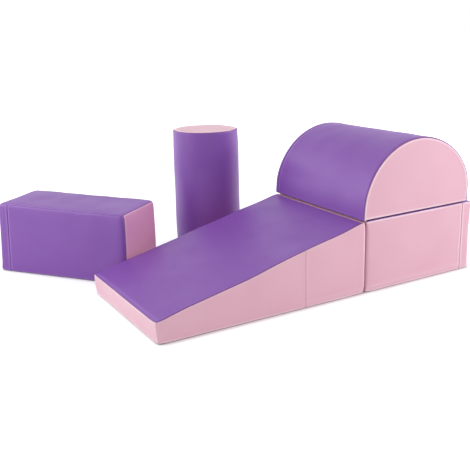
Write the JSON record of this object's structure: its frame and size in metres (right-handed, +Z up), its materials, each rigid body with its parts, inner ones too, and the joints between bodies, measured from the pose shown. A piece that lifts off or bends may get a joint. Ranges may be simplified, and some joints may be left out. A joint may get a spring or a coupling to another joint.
{
  "type": "soft play foam climber",
  "caption": "Soft play climbing set: wedge ramp, step block with a half-round on top, cuboid and upright cylinder, foam in sewn two-colour covers with zips.",
  "frame": {"origin": "middle of the step block's underside, on the floor", "axes": "+X along the climb, from the ramp's toe up to the step block, +Y to the far side where cuboid and cylinder stand, +Z up"},
  "size_m": [1.3787, 1.0498, 0.4859],
  "materials": {
    "purple_cover": "satin",
    "pink_cover": "satin",
    "foam": "matte",
    "non_slip_base": "matte",
    "hook_and_loop": "matte",
    "zip_teeth": "satin",
    "zip_metal": "satin"
  },
  "bodies": {
    "step_block": {"block_foam_core": "foam", "block_near_panel": "pink_cover", "block_far_panel": "pink_cover", "block_front_panel": "pink_cover", "block_rear_cap": "pink_cover", "block_top_panel": "purple_cover", "block_base_panel": "non_slip_base", "block_low_loop_strip": "hook_and_loop", "block_high_loop_strip": "hook_and_loop", "block_front_top_loop_strip": "hook_and_loop", "block_rear_top_loop_strip": "hook_and_loop", "block_zip_chain": "zip_teeth"},
    "ramp": {"ramp_foam_core": "foam", "ramp_slide_panel": "purple_cover", "ramp_toe_panel": "pink_cover", "ramp_heel_panel": "pink_cover", "ramp_near_toe_panel": "pink_cover", "ramp_near_heel_panel": "pink_cover", "ramp_far_panel": "pink_cover", "ramp_base_panel": "non_slip_base", "ramp_low_hook_strip": "hook_and_loop", "ramp_high_hook_strip": "hook_and_loop", "ramp_zip_chain": "zip_teeth"},
    "half_round": {"half_round_foam_core": "foam", "half_round_arch_panel": "purple_cover", "half_round_far_band": "purple_cover", "half_round_near_end": "pink_cover", "half_round_far_end": "pink_cover", "half_round_base_panel": "non_slip_base", "half_round_front_hook_strip": "hook_and_loop", "half_round_rear_hook_strip": "hook_and_loop", "half_round_zip_chain": "zip_teeth"},
    "cuboid": {"cuboid_foam_core": "foam", "cuboid_front_panel": "purple_cover", "cuboid_back_panel": "purple_cover", "cuboid_left_cap": "purple_cover", "cuboid_top_panel": "purple_cover", "cuboid_right_end": "pink_cover", "cuboid_base_panel": "non_slip_base", "cuboid_zip_chain": "zip_teeth"},
    "cylinder": {"cylinder_foam_core": "foam", "cylinder_wall_panel": "purple_cover", "cylinder_top_cap": "pink_cover", "cylinder_base_panel": "non_slip_base", "cylinder_zip_chain": "zip_teeth"},
    "block_slider": {"block_zip_slider": "zip_metal"},
    "block_pull": {"block_zip_pull": "zip_metal"},
    "ramp_slider": {"ramp_zip_slider": "zip_metal"},
    "ramp_pull": {"ramp_zip_pull": "zip_metal"},
    "half_round_slider": {"half_round_zip_slider": "zip_metal"},
    "half_round_pull": {"half_round_zip_pull": "zip_metal"},
    "cuboid_slider": {"cuboid_zip_slider": "zip_metal"},
    "cuboid_pull": {"cuboid_zip_pull": "zip_metal"},
    "cylinder_slider": {"cylinder_zip_slider": "zip_metal"},
    "cylinder_pull": {"cylinder_zip_pull": "zip_metal"}
  },
  "joints": [
    {"name": "ramp_pull_away", "type": "slide", "parent": "step_block", "child": "ramp", "axis": [-1, 0, 0], "range_m": [0, 0.18]},
    {"name": "half_round_lift", "type": "slide", "parent": "step_block", "child": "half_round", "axis": [0, 0, 1], "range_m": [0, 0.3]},
    {"name": "cuboid_lift", "type": "slide", "parent": "step_block", "child": "cuboid", "axis": [0, 0, 1], "range_m": [0, 0.3]},
    {"name": "cylinder_lift", "type": "slide", "parent": "step_block", "child": "cylinder", "axis": [0, 0, 1], "range_m": [0, 0.3]},
    {"name": "block_zip_travel", "type": "slide", "parent": "step_block", "child": "block_slider", "axis": [0, 1, 0], "range_m": [0, 0.33]},
    {"name": "block_pull_swing", "type": "hinge", "parent": "block_slider", "child": "block_pull", "pos_m": [0.2308, -0.166, 0.052], "axis": [0, 0, 1], "range_deg": [0, 180]},
    {"name": "ramp_zip_travel", "type": "slide", "parent": "ramp", "child": "ramp_slider", "axis": [-1, 0, 0], "range_m": [0, 0.31]},
    {"name": "ramp_pull_swing", "type": "hinge", "parent": "ramp_slider", "child": "ramp_pull", "pos_m": [-0.3059, 0.2538, 0.052], "axis": [0, 0, 1], "range_deg": [0, 180]},
    {"name": "half_round_zip_travel", "type": "slide", "parent": "half_round", "child": "half_round_slider", "axis": [-1, 0, 0], "range_m": [0, 0.29]},
    {"name": "half_round_pull_swing", "type": "hinge", "parent": "half_round_slider", "child": "half_round_pull", "pos_m": [0.131, 0.2538, 0.2969], "axis": [0, 0, 1], "range_deg": [0, 180]},
    {"name": "cuboid_zip_travel", "type": "slide", "parent": "cuboid", "child": "cuboid_slider", "axis": [-0.6115, 0.7912, 0], "range_m": [0, 0.33]},
    {"name": "cuboid_pull_swing", "type": "hinge", "parent": "cuboid_slider", "child": "cuboid_pull", "pos_m": [-0.7077, 0.47292, 0.052], "axis": [0, 0, 1], "range_deg": [0, 180]},
    {"name": "cylinder_zip_travel", "type": "slide", "parent": "cylinder", "child": "cylinder_slider", "axis": [0, 0, 1], "range_m": [0, 0.29]},
    {"name": "cylinder_pull_swing", "type": "hinge", "parent": "cylinder_slider", "child": "cylinder_pull", "pos_m": [-0.32339, 0.61972, 0.084], "axis": [0.866, -0.5, 0], "range_deg": [0, 180]}
  ]
}
